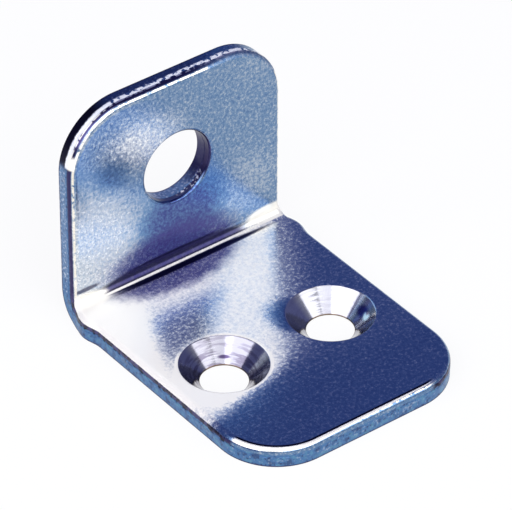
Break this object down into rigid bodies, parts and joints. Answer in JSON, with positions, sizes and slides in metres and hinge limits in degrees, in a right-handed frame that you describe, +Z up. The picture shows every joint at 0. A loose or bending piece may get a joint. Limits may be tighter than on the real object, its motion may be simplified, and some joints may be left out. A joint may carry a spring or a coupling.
{
  "type": "corner bracket",
  "caption": "Right-angle bracket of bent sheet steel with a bolt hole in its upright flange and countersunk screw holes side by side in its base.",
  "frame": {"origin": "middle of the bounding box's bottom, on the underside of the base", "axes": "+X across the bracket along the fold, +Y from the base's front edge to the flange's back, +Z up the flange"},
  "size_m": [0.0308, 0.0378, 0.0273],
  "materials": {
    "zinc_plated_steel": "bright blue-white zinc plate on cold-rolled sheet steel, glossy with a fine grain"
  },
  "bodies": {
    "root": {"bracket": "zinc_plated_steel"}
  },
  "joints": []
}
